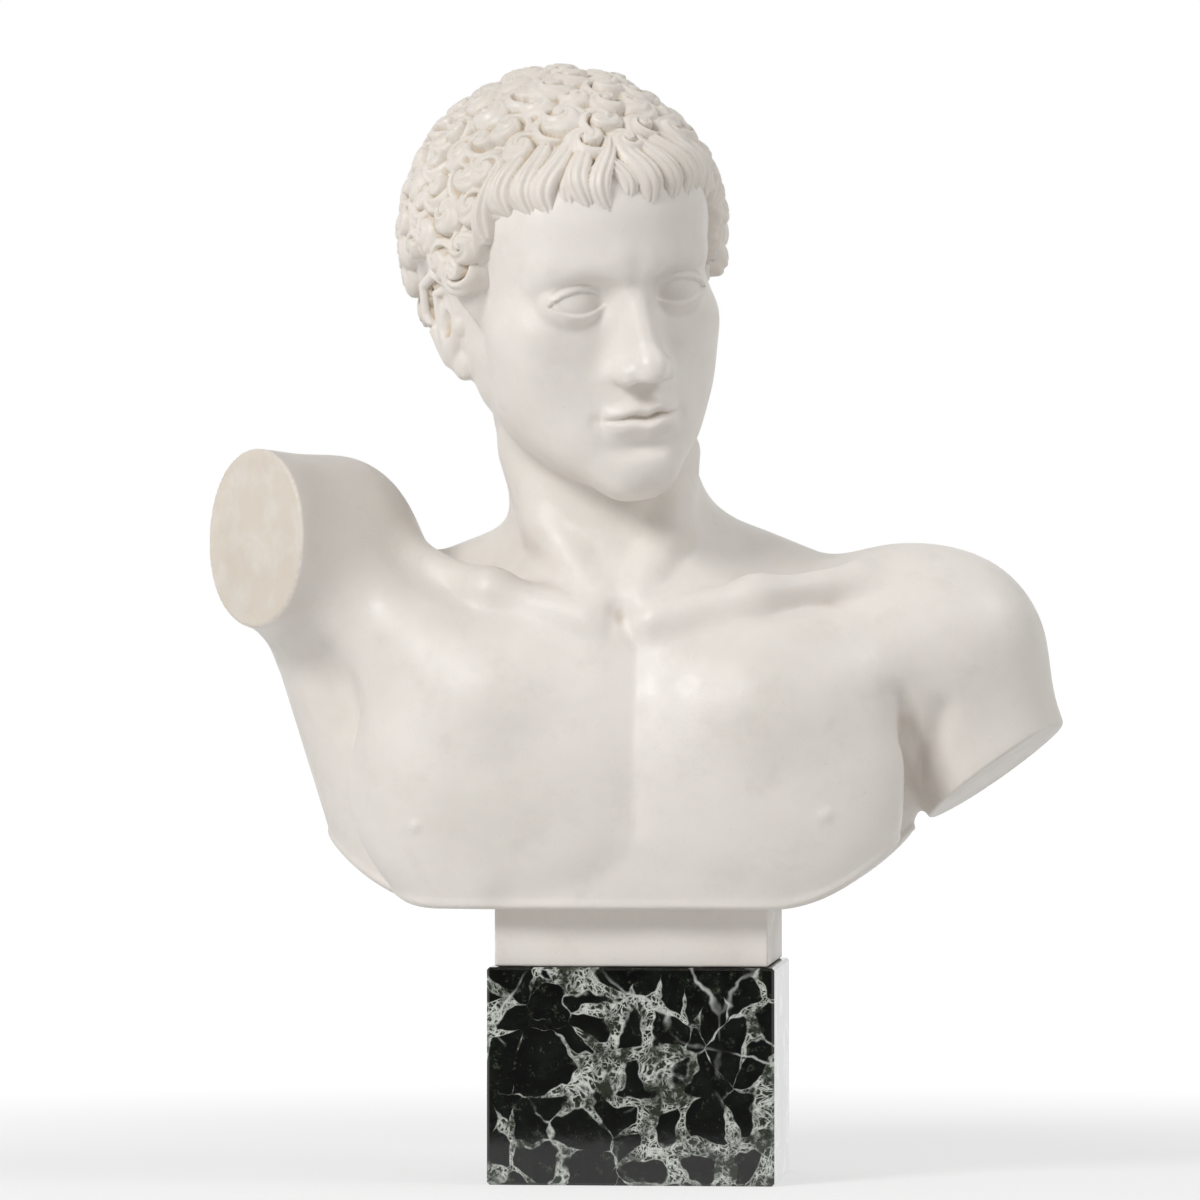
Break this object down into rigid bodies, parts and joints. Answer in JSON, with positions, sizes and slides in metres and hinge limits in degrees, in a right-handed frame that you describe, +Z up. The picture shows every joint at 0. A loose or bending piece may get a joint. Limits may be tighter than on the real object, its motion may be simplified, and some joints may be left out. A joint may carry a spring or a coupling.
{
  "type": "portrait bust",
  "caption": "White marble bust of a curly-haired classical youth with sawn-off arms, on a low white socle and a polished veined black marble block.",
  "frame": {"origin": "middle of the black block's underside, on the surface the bust stands on", "axes": "+Z up; the chest faces -Y; +X is the figure's own left, which is the viewer's right"},
  "size_m": [0.4919, 0.2334, 0.6411],
  "materials": {
    "white_marble": "satin",
    "black_marble": "polished"
  },
  "bodies": {
    "root": {"bust": "white_marble", "plinth_block": "black_marble"}
  },
  "joints": []
}
